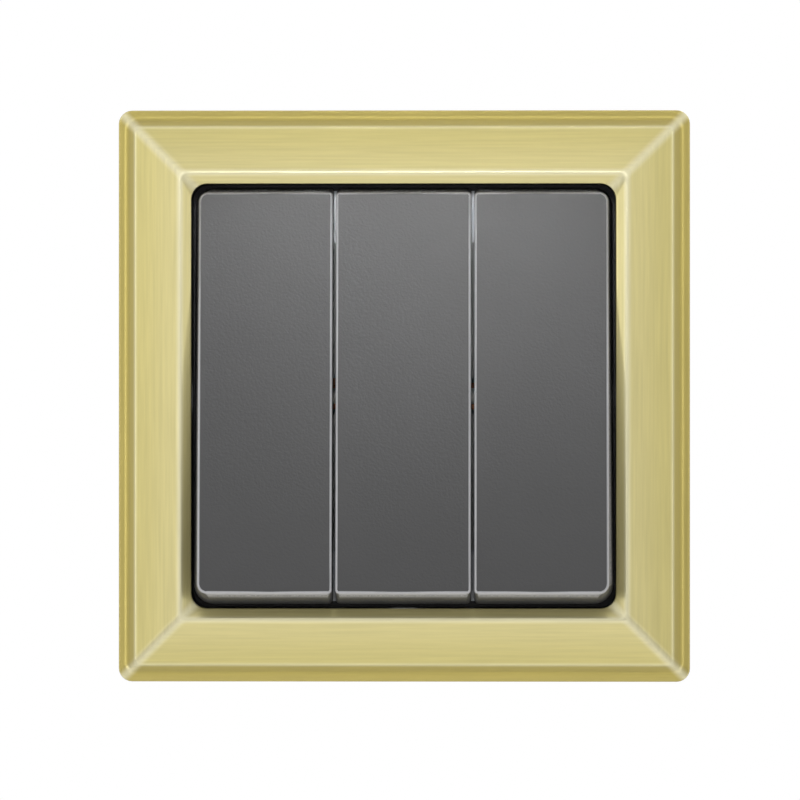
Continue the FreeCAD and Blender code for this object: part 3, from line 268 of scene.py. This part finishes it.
def brushed_brass(window, rim):
    """Lacquered brass, brushed along each side of the frame, so that the grain turns at the mitres.
    The crest, the step and the mitre ridges get painted highlights, the cove and riser get painted shade, and
    the face is painted darker towards the rim."""
    material, tree, shader, place = finish("brushed_brass", (0.58, 0.51, 0.22), 0.34, 0.45)
    apart = add_node(tree, "ShaderNodeSeparateXYZ", {0: place})
    across = add_node(tree, "ShaderNodeMath", {0: apart.outputs["X"]}, operation="ABSOLUTE")
    upright = add_node(tree, "ShaderNodeMath", {0: apart.outputs["Z"]}, operation="ABSOLUTE")
    both = {0: across.outputs[0], 1: upright.outputs[0]}
    side = add_node(tree, "ShaderNodeMath", both, operation="GREATER_THAN").outputs[0]
    level_grain = noise(tree, place, 1.0, (80, 2200, 2200), 5.0).outputs[0]
    upright_grain = noise(tree, place, 1.0, (2200, 2200, 80), 5.0).outputs[0]
    grains = {0: side, 2: level_grain, 3: upright_grain}
    grain = add_node(tree, "ShaderNodeMix", grains, data_type="FLOAT").outputs[0]
    reach = add_node(tree, "ShaderNodeMath", both, operation="MAXIMUM")
    share = add_node(tree, "ShaderNodeMapRange", {0: reach.outputs[0], 1: window, 2: rim})
    painted_bands = tree.nodes.new("ShaderNodeValToRGB")
    painted_bands.color_ramp.interpolation = "EASE"
    # Band colours from window to rim: painted highlight at the crest and the step, painted shade in the cove
    # and riser, face painted darker towards the rim
    painted_band_tones = [
        (0.00, (0.60, 0.53, 0.24)),
        (0.08, (0.60, 0.53, 0.24)),
        (0.14, (0.72, 0.67, 0.42)),
        (0.22, (0.58, 0.51, 0.22)),
        (0.72, (0.53, 0.46, 0.17)),
        (0.76, (0.62, 0.56, 0.28)),
        (0.80, (0.41, 0.33, 0.06)),
        (1.00, (0.43, 0.35, 0.09)),
    ]
    while len(painted_bands.color_ramp.elements) < len(painted_band_tones):
        painted_bands.color_ramp.elements.new(0.5)
    for stop, (at, colour) in zip(painted_bands.color_ramp.elements, painted_band_tones):
        stop.position, stop.color = at, (*colour, 1)
    tree.links.new(share.outputs[0], painted_bands.inputs[0])
    apart_by = add_node(tree, "ShaderNodeMath", both, operation="SUBTRACT")
    off_mitre = add_node(tree, "ShaderNodeMath", {0: apart_by.outputs[0]}, operation="ABSOLUTE")
    # Painted highlight along the mitre ridges: the colour turns paler near the diagonals
    ridge_width, ridge_highlight_share, ridge_highlight_colour = 1.6 * MM, 0.75, (0.78, 0.73, 0.48, 1)
    painted_highlight = add_node(tree, "ShaderNodeMapRange",
                      {0: off_mitre.outputs[0], 1: 0.0, 2: ridge_width, 3: ridge_highlight_share, 4: 0.0},
                      interpolation_type="SMOOTHSTEP")
    ridge_highlighted = add_node(tree, "ShaderNodeMix", {0: painted_highlight.outputs[0], 6: painted_bands.outputs[0], 7: ridge_highlight_colour},
                      data_type="RGBA")
    streak = add_node(tree, "ShaderNodeMapRange", {0: grain, 1: 0.3, 2: 0.7, 3: 0.94, 4: 1.06})
    streaked = add_node(tree, "ShaderNodeVectorMath", {0: ridge_highlighted.outputs[2], "Scale": streak.outputs[0]},
                        operation="SCALE")
    tree.links.new(streaked.outputs[0], shader.inputs["Base Color"])
    vary(tree, shader, "Roughness", grain, 0.3, 0.38)
    relief(tree, shader, grain, 0.0000015)
    shader.inputs["Coat Weight"].default_value = 0.2
    shader.inputs["Coat Roughness"].default_value = 0.3
    return material


frame_low, frame_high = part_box("cover_frame")
outer_half, crest = frame_high.x, -frame_low.y
window_gap, face_rise, bevel_slope, lip_drop = 0.4 * MM, 3.8 * MM, 0.69, 2.2 * MM
window_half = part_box("right_rocker")[1].x + window_gap
rim_top, step_in, crest_in, wall = 2.3 * MM, 2.65 * MM, 1.6 * MM, 1.1 * MM
cove_in, cove_rise = 1.35 * MM, 0.6 * MM
mitre_corner, rim_corner, window_corner = 1.0 * MM, 2.0 * MM, 2.3 * MM
crest_skin, step_skin, cove_skin, rim_skin, shoulder_in = 1.3 * MM, 0.8 * MM, 0.25 * MM, 0.7 * MM, 3.5 * MM
step_top = crest - face_rise
face = [
    Vector((outer_half, 0.0)),
    Vector((outer_half, rim_top)),
    Vector((outer_half - cove_in, rim_top + cove_rise)),
    Vector((outer_half - step_in, step_top)),
    Vector((window_half + crest_in, crest)),
    Vector((window_half, crest - crest_in * bevel_slope)),
    Vector((window_half, crest - lip_drop)),
]
hollow = [
    Vector((window_half + wall, crest - lip_drop)),
    Vector((window_half + wall, crest - crest_skin)),
    Vector((outer_half - shoulder_in, step_top - step_skin)),
    Vector((outer_half - cove_in - step_skin, rim_top - cove_skin)),
    Vector((outer_half - wall, rim_top - rim_skin)),
    Vector((outer_half - wall, 0.0)),
]
profile = arcs(face, [0.4 * MM, 2.0 * MM, 0.45 * MM, 0.5 * MM, 0.25 * MM]) + hollow


def plan_corner(half):
    """Corner radius in plan: soft at the rim and the window, tight along the mitres."""
    outside = max(0.0, (half - outer_half + step_in) / step_in)
    inside = max(0.0, (window_half + crest_in - half) / crest_in)
    return mitre_corner + outside * (rim_corner - mitre_corner) + inside * (window_corner - mitre_corner)


bm = bmesh.new()
half, height = profile[0]
corner = plan_corner(half)
loop = rounded_square(bm, half, corner, height)
for half_on, height_on in profile[1:] + profile[:1]:
    corner_on = plan_corner(half_on)
    added = set(bmesh.ops.extrude_edge_only(bm, edges=loop)["geom"])
    loop = [edge for edge in added if isinstance(edge, bmesh.types.BMEdge) and added.issuperset(edge.verts)]
    for vert in {vert for edge in loop for vert in edge.verts}:
        towards = Vector((math.copysign(1, vert.co.x), 0, math.copysign(1, vert.co.z)))
        bend = vert.co - towards * (half - corner) - Vector((0, -height, 0))
        vert.co = towards * (half_on - corner_on) + Vector((0, -height_on, 0)) + bend * (corner_on / corner)
    half, height, corner = half_on, height_on, corner_on
bmesh.ops.remove_doubles(bm, verts=bm.verts, dist=0.001 * MM)
bmesh.ops.recalc_face_normals(bm, faces=bm.faces)
smooth_by_angle(bm, 40)
new_piece(bm, "cover_frame", brushed_brass(window_half, outer_half))

# ---------------------------------------------------------------------------------------------
# Rockers: three moulded finger plates in satin anthracite with a fine spark-eroded grain.
# Each one snaps on to its cradle; its sides lean in to leave the mould, and its front round carries a painted
# highlight.
# ---------------------------------------------------------------------------------------------
def merged_copy(node, edge=0.0):
    """A CAD node's mesh as a bmesh, its doubles merged and, where asked, its sharp edges broken."""
    bm = bmesh.new()
    bm.from_mesh(nodes[node].data)
    bmesh.ops.remove_doubles(bm, verts=bm.verts, dist=0.002 * MM)
    bmesh.ops.dissolve_limit(bm, angle_limit=math.radians(0.5), verts=bm.verts, edges=bm.edges)
    if edge:
        sharp = [e for e in bm.edges if e.is_manifold and e.calc_face_angle(0) > math.radians(35)]
        bmesh.ops.bevel(bm, geom=sharp, offset=edge, offset_type="OFFSET", segments=2, profile=0.5,
                        affect="EDGES", clamp_overlap=True, material=-1)
    smooth_by_angle(bm, 35)
    return bm


def moulded(name, colour, roughness, grain, height):
    """Moulded plastic with an eroded grain and a slightly uneven gloss."""
    material, tree, shader, place = finish(name, colour, roughness)
    fine = noise(tree, place, grain).outputs[0]
    broad = noise(tree, place, 45.0).outputs[0]
    darker, lighter = tuple(0.94 * c for c in colour), tuple(1.06 * c for c in colour)
    vary(tree, shader, "Base Color", broad, darker, lighter)
    vary(tree, shader, "Roughness", fine, roughness - 0.04, roughness + 0.04)
    relief(tree, shader, fine, height)
    return material


def paint_edge_highlight(material, colour, roughness):
    """Paints a highlight: makes a material paler and smoother where the piece's highlight attribute is set.
    """
    tree = material.node_tree
    shader = tree.nodes["Principled BSDF"]
    highlight_flag = tree.nodes.new("ShaderNodeAttribute")
    highlight_flag.attribute_name = "painted_highlight"
    new_colour = shader.inputs["Base Color"].links[0].from_socket
    colours = {0: highlight_flag.outputs["Fac"], 6: new_colour, 7: (*colour, 1)}
    highlighted_colour = add_node(tree, "ShaderNodeMix", colours, data_type="RGBA")
    tree.links.new(highlighted_colour.outputs[2], shader.inputs["Base Color"])
    new_gloss = shader.inputs["Roughness"].links[0].from_socket
    glosses = {0: highlight_flag.outputs["Fac"], 2: new_gloss, 3: roughness}
    highlighted_gloss = add_node(tree, "ShaderNodeMix", glosses, data_type="FLOAT")
    tree.links.new(highlighted_gloss.outputs[0], shader.inputs["Roughness"])


anthracite = moulded("satin_anthracite", (0.052, 0.052, 0.053), 0.36, 2600.0, 0.00003)
# Painted highlight on the rockers' front rounds: the colour is paler and glossier there
paint_edge_highlight(anthracite, (0.42, 0.42, 0.43), 0.2)
edge_round = 0.4 * MM
for side in ("left", "middle", "right"):
    bm = merged_copy(side + "_rocker")
    front = max(bm.faces, key=lambda face: face.calc_area())
    # Vertices inside the front round are flagged for the painted highlight
    painted_highlight = bm.verts.layers.float.new("painted_highlight")
    for vert in bm.verts:
        depth = (front.calc_center_median() - vert.co).dot(front.normal)
        vert[painted_highlight] = float(0.02 * edge_round < depth < 0.95 * edge_round)
    new_piece(bm, side + "_rocker", anthracite)

# ---------------------------------------------------------------------------------------------
# Frame carrier: the black moulding inside the brass that clips to the ring by four hooks.
# Only its window wall shows, as the dark line round the rockers.
# ---------------------------------------------------------------------------------------------
black_plastic = moulded("matt_black", (0.022, 0.022, 0.022), 0.5, 3000.0, 0.000005)
new_piece(merged_copy("frame_carrier", 0.1 * MM), "frame_carrier", black_plastic)


# ---------------------------------------------------------------------------------------------
# Support ring: stamped steel sheet, zinc plated, with joggled lugs for the carrier's hooks.
# Its long holes are punched, so the edges are a little rounded on the punch side.
# ---------------------------------------------------------------------------------------------
def metal_finish(name, colour, roughness, stretch):
    """Plated or bare metal: a cloudy sheen, bluer in patches, over the grain it was rolled or drawn with."""
    material, tree, shader, place = finish(name, colour, roughness, 1.0)
    cloud = noise(tree, place, 180.0, detail=4.0).outputs[0]
    rolled = noise(tree, place, 1.0, stretch, 2.0).outputs[0]
    bluish = (0.86 * colour[0], 0.9 * colour[1], 0.97 * colour[2])
    vary(tree, shader, "Base Color", cloud, bluish, colour)
    vary(tree, shader, "Roughness", rolled, roughness - 0.07, roughness + 0.07)
    relief(tree, shader, rolled, 0.000002)
    return material


zinc_sheet = metal_finish("zinc_plated_sheet", (0.52, 0.53, 0.54), 0.38, (200, 5000, 5000))
new_piece(merged_copy("support_ring", 0.08 * MM), "support_ring", zinc_sheet)

# ---------------------------------------------------------------------------------------------
# Insert housing and bearing plate: light grey thermoset mouldings, riveted together through the ring.
# The plate's four ribs hold the cradles' trunnions; the housing has the wire entries at its back.
# ---------------------------------------------------------------------------------------------
grey_moulding = moulded("light_grey_moulding", (0.5, 0.51, 0.5), 0.5, 2200.0, 0.000006)
for node in ("insert_housing", "bearing_plate"):
    new_piece(merged_copy(node, 0.12 * MM), node, grey_moulding)

# ---------------------------------------------------------------------------------------------
# Rivets, claw pins and claws: plated steel, the rivets drawn hollow and closed by rolling.
# Each claw is bent from strip, with teeth that bite into the wall box.
# ---------------------------------------------------------------------------------------------
zinc_small = metal_finish("zinc_plated_parts", (0.56, 0.56, 0.55), 0.32, (3000, 900, 3000))
for node in ("insert_rivets", "claw_pins", "left_claw", "right_claw"):
    new_piece(merged_copy(node, 0.06 * MM), node, zinc_small)

# ---------------------------------------------------------------------------------------------
# Claw screws: pan heads with a cross recess, zinc plated like the claws.
# The thread is rolled on to the shank, so it shows as a fine spiral.
# ---------------------------------------------------------------------------------------------
def coil(bm, foot, radius, wire, sides, length, turns, steps=20):
    """A wire wound round a line along Y, its section a regular polygon and its ends closed."""
    first = bmesh.ops.create_circle(bm, segments=sides, radius=wire)["verts"]
    bmesh.ops.translate(bm, verts=first, vec=foot + Vector((radius, 0, 0)))
    first_edges = list({edge for vert in first for edge in vert.link_edges})
    wound = bmesh.ops.spin(bm, geom=first + first_edges, cent=foot, axis=(0, 1, 0), angle=math.tau * turns,
                           dvec=(0, length / (turns * steps), 0), steps=turns * steps)["geom_last"]
    last_edges = [element for element in wound if isinstance(element, bmesh.types.BMEdge)]
    for edges in (first_edges, last_edges):
        bmesh.ops.contextual_create(bm, geom=edges)


core, crest_r, pitch = 1.24 * MM, 1.5 * MM, 0.5 * MM
head_top, thread_start, thread_margin, thread_reach = 1.3 * MM, 0.6 * MM, 0.8 * MM, 1.1
for side in ("left", "right"):
    node = side + "_claw_screw"
    low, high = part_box(node)
    axle = Vector(((low.x + high.x) / 2, 0, (low.z + high.z) / 2))
    bm = merged_copy(node, 0.06 * MM)
    shank = [vert for vert in bm.verts if vert.co.y > -head_top
             and (vert.co - axle - Vector((0, vert.co.y, 0))).length < thread_reach * crest_r]
    bmesh.ops.scale(bm, verts=shank, vec=(core / crest_r, 1, core / crest_r), space=Matrix.Translation(-axle))
    turns = int((high.y - thread_margin) / pitch) - 1
    coil(bm, axle + Vector((0, thread_start, 0)), core, crest_r - core, 4, turns * pitch, turns, 16)
    smooth_by_angle(bm, 35)
    new_piece(bm, node, zinc_small)

# ---------------------------------------------------------------------------------------------
# Cradles and plungers: white acetal, smooth and a little waxy, since they slide on each other.
# ---------------------------------------------------------------------------------------------
acetal = moulded("white_acetal", (0.72, 0.72, 0.69), 0.35, 1500.0, 0.000002)
for side in ("left", "middle", "right"):
    for part in ("cradle", "plunger"):
        node = side + "_" + part
        new_piece(merged_copy(node, 0.08 * MM), node, acetal)

# ---------------------------------------------------------------------------------------------
# Springs: bright drawn steel, the plunger coils wound, the clamp leaves bent from strip.
# ---------------------------------------------------------------------------------------------
spring_steel = metal_finish("bright_spring_steel", (0.5, 0.5, 0.5), 0.25, (4000, 400, 4000))
wire, coil_r, rest_tilt, pivot_y, travel = 0.2 * MM, 1.25 * MM, math.radians(-5), -3.2 * MM, 0.9 * MM
coil_front, coil_back = 1.6 * MM, 2.2 * MM
coil_length = coil_front + coil_back
for side in ("left", "middle", "right"):
    node = side + "_plunger_spring"
    low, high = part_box(node)
    pivot = Vector(((low.x + high.x) / 2, pivot_y, 0))
    bm = bmesh.new()
    coil(bm, pivot + Vector((0, -coil_front, 0)), coil_r, wire, 10, coil_length, 4, 28)
    bmesh.ops.rotate(bm, verts=bm.verts, cent=pivot, matrix=Matrix.Rotation(rest_tilt, 3, "X"))
    bmesh.ops.recalc_face_normals(bm, faces=bm.faces)
    smooth_by_angle(bm, 50)
    spring = new_piece(bm, node, spring_steel)
    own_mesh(spring)
for pole in ("common", "left", "middle", "right"):
    node = pole + "_clamp_spring"
    leaf = new_piece(merged_copy(node, 0.04 * MM), node, spring_steel)
    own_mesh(leaf)

# ---------------------------------------------------------------------------------------------
# Copper: busbar, output strips and contact levers, punched from rolled strip and dulled in patches.
# ---------------------------------------------------------------------------------------------
copper = metal_finish("rolled_copper", (0.72, 0.36, 0.22), 0.33, (300, 4000, 4000))
new_piece(merged_copy("common_busbar", 0.06 * MM), "common_busbar", copper)
for side in ("left", "middle", "right"):
    for part in ("output_strip", "contact_lever"):
        node = side + "_" + part
        new_piece(merged_copy(node, 0.06 * MM), node, copper)

# ---------------------------------------------------------------------------------------------
# Contact buttons: silver, riveted into the levers and strips, a little dulled by arcing.
# ---------------------------------------------------------------------------------------------
silver = metal_finish("contact_silver", (0.8, 0.79, 0.76), 0.3, (2500, 2500, 2500))
new_piece(merged_copy("fixed_contact_buttons", 0.06 * MM), "fixed_contact_buttons", silver)
for side in ("left", "middle", "right"):
    new_piece(merged_copy(side + "_moving_contact", 0.06 * MM), side + "_moving_contact", silver)

# ---------------------------------------------------------------------------------------------
# Release levers: glossy orange push bars with a slot for a blade, so that a wire can be taken out.
# ---------------------------------------------------------------------------------------------
orange = moulded("orange_moulding", (0.62, 0.19, 0.03), 0.3, 1200.0, 0.000002)
for pole in ("common", "left", "middle", "right"):
    node = pole + "_release_lever"
    new_piece(merged_copy(node, 0.08 * MM), node, orange)
